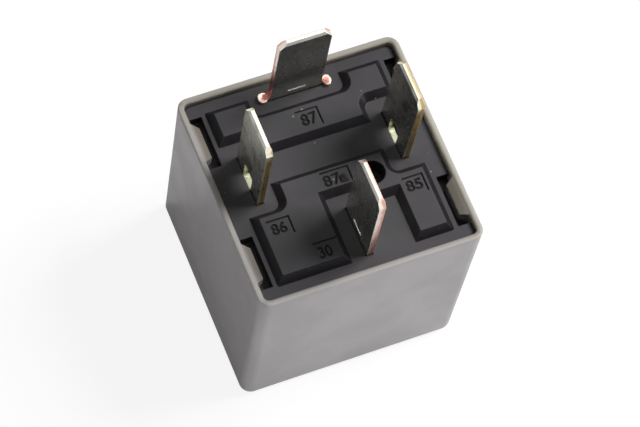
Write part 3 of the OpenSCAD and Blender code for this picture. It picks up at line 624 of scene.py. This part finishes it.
def digit_cutter(name, words, middle_x, low_y, height, width):
    """A number as a block, with its foot at the mark's depth and its top above the land."""
    bpy.ops.object.text_add(location=(0, 0, 0))
    letters = bpy.context.active_object
    letters.name = name
    letters.data.body = words
    letters.data.extrude = MARK_DEPTH
    letters.data.offset = DIGIT_WEIGHT
    letters.data.resolution_u = DIGIT_STEPS
    letters.data.size = 1.0
    select_nothing()
    letters.select_set(True)
    bpy.context.view_layer.objects.active = letters
    bpy.ops.object.convert(target="MESH")
    block = bpy.context.active_object
    xs = [v.co.x for v in block.data.vertices]
    ys = [v.co.y for v in block.data.vertices]
    zs = [v.co.z for v in block.data.vertices]
    wide, tall, deep = max(xs) - min(xs), max(ys) - min(ys), max(zs) - min(zs)
    grow = (width / wide, height / tall, 2 * MARK_DEPTH / deep)
    move = Vector((middle_x - grow[0] * (max(xs) + min(xs)) / 2, low_y - grow[1] * min(ys),
                   LAND_TOP))
    block.data.transform(Matrix.Translation(move) @ Matrix.Diagonal((*grow, 1.0)))
    return block


def cut_mark(piece, cutter):
    """Takes a cutter out of the piece, and gives the cut the second material, whose dark tone is
    painted shade in the sunk mark.
    """
    cutter.data.materials.clear()
    cutter.data.materials.append(plate_nylon)
    cutter.data.materials.append(painted_mark_shade)
    for face in cutter.data.polygons:
        face.material_index = 1
    select_nothing()
    piece.select_set(True)
    bpy.context.view_layer.objects.active = piece
    sunk = piece.modifiers.new("sunk_mark", "BOOLEAN")
    sunk.operation = "DIFFERENCE"
    sunk.solver = "EXACT"
    sunk.object = cutter
    bpy.ops.object.modifier_apply(modifier=sunk.name)
    bpy.data.objects.remove(cutter)


def sink_mark(words, middle_x, foot_y, height, width, left, right, top, bottom=None):
    """Sinks a number and the bar over it, and a bar down its right side to bottom, all in mm."""
    cut_mark(plate, digit_cutter("mark_" + words, words, middle_x * MM, foot_y * MM, height * MM,
                                 width * MM))
    cut_mark(plate, line_cutter("bar_" + words, left * MM, top * MM, right * MM, top * MM))
    if bottom is not None:
        cut_mark(plate, line_cutter("bar_" + words, right * MM, (top - BAR_DROP) * MM, right * MM,
                                    bottom * MM))


sink_mark("87", 0.02, 5.75, 1.55, 2.0, left=-1.18, right=1.37, top=7.71, bottom=5.56)
sink_mark("87a", 0.0, -2.2, 1.45, 2.9, left=-1.4, right=1.86, top=-0.37, bottom=-2.32)
sink_mark("86", -8.29, -5.8, 1.4, 1.85, left=-9.36, right=-6.76, top=-4.02, bottom=-6.02)
sink_mark("30", -4.39, -10.2, 1.5, 1.6, left=-5.39, right=-2.69, top=-8.19)
sink_mark("85", 8.19, -5.8, 1.4, 2.0, left=7.19, right=9.54, top=-4.02, bottom=-6.12)

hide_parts("base_plate")
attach(plate, HOUSING)

# ---------------------------------------------------------------- cover
# The box that snaps over the finished relay: light grey plastic, injection moulded with a
# fine matt grain, its rim rubbed pale and its sides slightly scuffed.
COVER_GREY = (0.507, 0.485, 0.498, 1)
COVER_SHADE = (0.467, 0.445, 0.458, 1)
COVER_RUBBED = (0.66, 0.63, 0.57, 1)
RIM_AGED = (0.50, 0.465, 0.40, 1)
# The rim's inner tone is painted shade, darker towards the inside and fading below the rim.
RIM_PAINTED_SHADE = (0.17, 0.148, 0.118, 1)
RIM_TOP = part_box("cover")[1].z
RIM_HEIGHT = 1.4 * MM
RIM_INSIDE, RIM_OUTSIDE = 12.5 * MM, 13.4 * MM


def rim_mask(tree, place):
    """One on the rim's top and on the inside of the walls next to it."""
    normal = add_node(tree, "TexCoord").outputs["Normal"]
    outward = add_node(tree, "VectorMath", {0: place, 1: (1, 1, 0)}, operation="MULTIPLY")
    turned = add_node(tree, "VectorMath", {0: outward.outputs[0], 1: normal},
                      operation="DOT_PRODUCT")
    inward = spread(tree, turned.outputs["Value"], 0.0, -4 * MM)
    upward = spread(tree, add_node(tree, "SeparateXYZ", {0: normal}).outputs["Z"], 0.45, 0.85)
    height = add_node(tree, "SeparateXYZ", {0: place}).outputs["Z"]
    high = spread(tree, height, RIM_TOP - RIM_HEIGHT, RIM_TOP - RIM_HEIGHT / 2)
    patchy = spread(tree, speckle(tree, place, 260.0, 3.0), 0.3, 0.6, 0.7, 1.0)
    far_side = add_node(tree, "VectorMath", {0: place, 1: (1, 1, 0)}, operation="DOT_PRODUCT")
    warmed = spread(tree, far_side.outputs["Value"], -7 * MM, 3 * MM, 0.35, 1.0)
    faced = reckon(tree, "MULTIPLY", reckon(tree, "MAXIMUM", inward, upward), high)
    return reckon(tree, "MULTIPLY", faced, reckon(tree, "MULTIPLY", patchy, warmed))


def painted_rim_shade(tree, place):
    """One where painted shade goes: it grows from the rim's outer edge to its inner one, and fades
    out below the rim.
    """
    off_middle = add_node(tree, "VectorMath", {0: place}, operation="ABSOLUTE")
    parts = add_node(tree, "SeparateXYZ", {0: off_middle.outputs[0]}).outputs
    across = spread(tree, reckon(tree, "MAXIMUM", parts["X"], parts["Y"]), RIM_INSIDE,
                    RIM_OUTSIDE, 0.85, 0.0, smooth=False)
    high = spread(tree, parts["Z"], RIM_TOP - RIM_HEIGHT, RIM_TOP - RIM_HEIGHT / 2)
    return reckon(tree, "MULTIPLY", across, high)


cover_plastic = moulded_finish("cover_plastic", COVER_GREY, COVER_SHADE, COVER_RUBBED, rough=0.34,
                               fine=6500.0, depth=0.006 * MM, reach=0.3 * MM, wear=0.6, spots=0.12,
                               aging_and_painted_shade=((rim_mask, RIM_AGED), (painted_rim_shade, RIM_PAINTED_SHADE)))
dress("cover", cover_plastic)

# ---------------------------------------------------------------- studio
# A plain pale floor and a white surround. The key lamp stands high over the right side, and
# two small low ones face the right and the left front. The camera is above the left front.
FLOOR_SIZE = 4.0
FLOOR_GAP = 0.02 * MM
FLOOR_PAINT = (0.75, 0.75, 0.75, 1)
FLOOR_MIRRORED = (0.95, 0.95, 0.95, 1)
FLOOR_SHADED = (0.2, 0.2, 0.2, 1)
FLOOR_GLOW = 0.88
WHITE = (1, 1, 1, 1)
SOFT_SKY, WHITE_SKY = 0.04, 1.0
LAMP_DISTANCE = 0.7
CAMERA_AZIMUTH, CAMERA_HEIGHT, CAMERA_ROLL = -0.60127, 1.11762, 0.24168
CAMERA_DISTANCE = 0.37576
CAMERA_TARGET = Vector((-0.001199, -0.001974, 0.019545))
LENS_LENGTH, SENSOR = 184.66, 36.0
NEAREST_SEEN = 0.01

bpy.ops.mesh.primitive_plane_add(size=FLOOR_SIZE, location=(0, 0, -FLOOR_GAP))
floor = bpy.context.active_object
floor.name = "studio_floor"


def seen_through(tree, *rays):
    """1 where one of these kinds of ray meets the surface."""
    path = add_node(tree, "LightPath")
    seen = path.outputs["Is %s Ray" % rays[0]]
    for ray in rays[1:]:
        seen = reckon(tree, "MAXIMUM", seen, path.outputs["Is %s Ray" % ray])
    return seen


def floor_finish():
    """Plain pale paint that the camera sees as near white, with the relay's shadow kept."""
    finish = bpy.data.materials.new("studio_white")
    finish.use_nodes = True
    tree = finish.node_tree
    tree.nodes.clear()
    matt = add_node(tree, "BsdfDiffuse", {"Color": FLOOR_PAINT})
    mirrored = add_node(tree, "BsdfDiffuse", {"Color": FLOOR_MIRRORED})
    shade = add_node(tree, "BsdfDiffuse", {"Color": FLOOR_SHADED})
    glow = add_node(tree, "Emission", {"Color": WHITE, "Strength": FLOOR_GLOW})
    white = add_node(tree, "AddShader", {0: shade.outputs[0], 1: glow.outputs[0]})
    near = add_node(tree, "MixShader", {0: seen_through(tree, "Glossy"), 1: matt.outputs[0],
                                        2: mirrored.outputs[0]})
    pick = add_node(tree, "MixShader", {0: seen_through(tree, "Camera", "Transmission"),
                                        1: near.outputs[0], 2: white.outputs[0]})
    add_node(tree, "OutputMaterial", {0: pick.outputs[0]})
    return finish


floor.data.materials.append(floor_finish())

world = bpy.data.worlds.new("studio_world")
bpy.context.scene.world = world
world.use_nodes = True
sky_tree = world.node_tree
sky_tree.nodes.clear()
soft_sky = add_node(sky_tree, "Background", {0: WHITE, 1: SOFT_SKY})
white_sky = add_node(sky_tree, "Background", {0: WHITE, 1: WHITE_SKY})
seen_sky = seen_through(sky_tree, "Camera", "Glossy", "Transmission")
sky = add_node(sky_tree, "MixShader", {0: seen_sky, 1: soft_sky.outputs[0],
                                       2: white_sky.outputs[0]})
add_node(sky_tree, "OutputWorld", {0: sky.outputs[0]})


def add_lamp(name, way, size, power):
    """A soft square lamp that looks at the relay from the given way."""
    lamp_data = bpy.data.lights.new(name, "AREA")
    lamp_data.shape = "SQUARE"
    lamp_data.size = size
    lamp_data.energy = power
    lamp = bpy.data.objects.new(name, lamp_data)
    bpy.context.scene.collection.objects.link(lamp)
    spot = Vector(way).normalized() * LAMP_DISTANCE
    lamp.matrix_world = Matrix.Translation(spot) @ spot.to_track_quat("Z", "Y").to_matrix().to_4x4()


add_lamp("key_lamp", (0.60, 0.03, 0.80), size=0.32, power=4.3)
add_lamp("side_lamp", (0.86, -0.50, 0.10), size=0.12, power=1.2)
add_lamp("low_lamp", (-0.72, -0.68, 0.11), size=0.12, power=0.95)

camera_data = bpy.data.cameras.new("studio_camera")
camera = bpy.data.objects.new("studio_camera", camera_data)
bpy.context.scene.collection.objects.link(camera)
camera_data.lens = LENS_LENGTH
camera_data.sensor_width = SENSOR
camera_data.clip_start = NEAREST_SEEN
back = Vector((sin(CAMERA_AZIMUTH) * cos(CAMERA_HEIGHT), -cos(CAMERA_AZIMUTH) * cos(CAMERA_HEIGHT),
               sin(CAMERA_HEIGHT)))
right = (-back).cross(Vector((0, 0, 1))).normalized()
up = right.cross(-back)
rolled_right = cos(CAMERA_ROLL) * right + sin(CAMERA_ROLL) * up
rolled_up = -sin(CAMERA_ROLL) * right + cos(CAMERA_ROLL) * up
turn = Matrix((rolled_right, rolled_up, back)).transposed().to_4x4()
camera.matrix_world = Matrix.Translation(CAMERA_TARGET + back * CAMERA_DISTANCE) @ turn
bpy.context.scene.camera = camera
bpy.context.scene.view_settings.view_transform = "Standard"
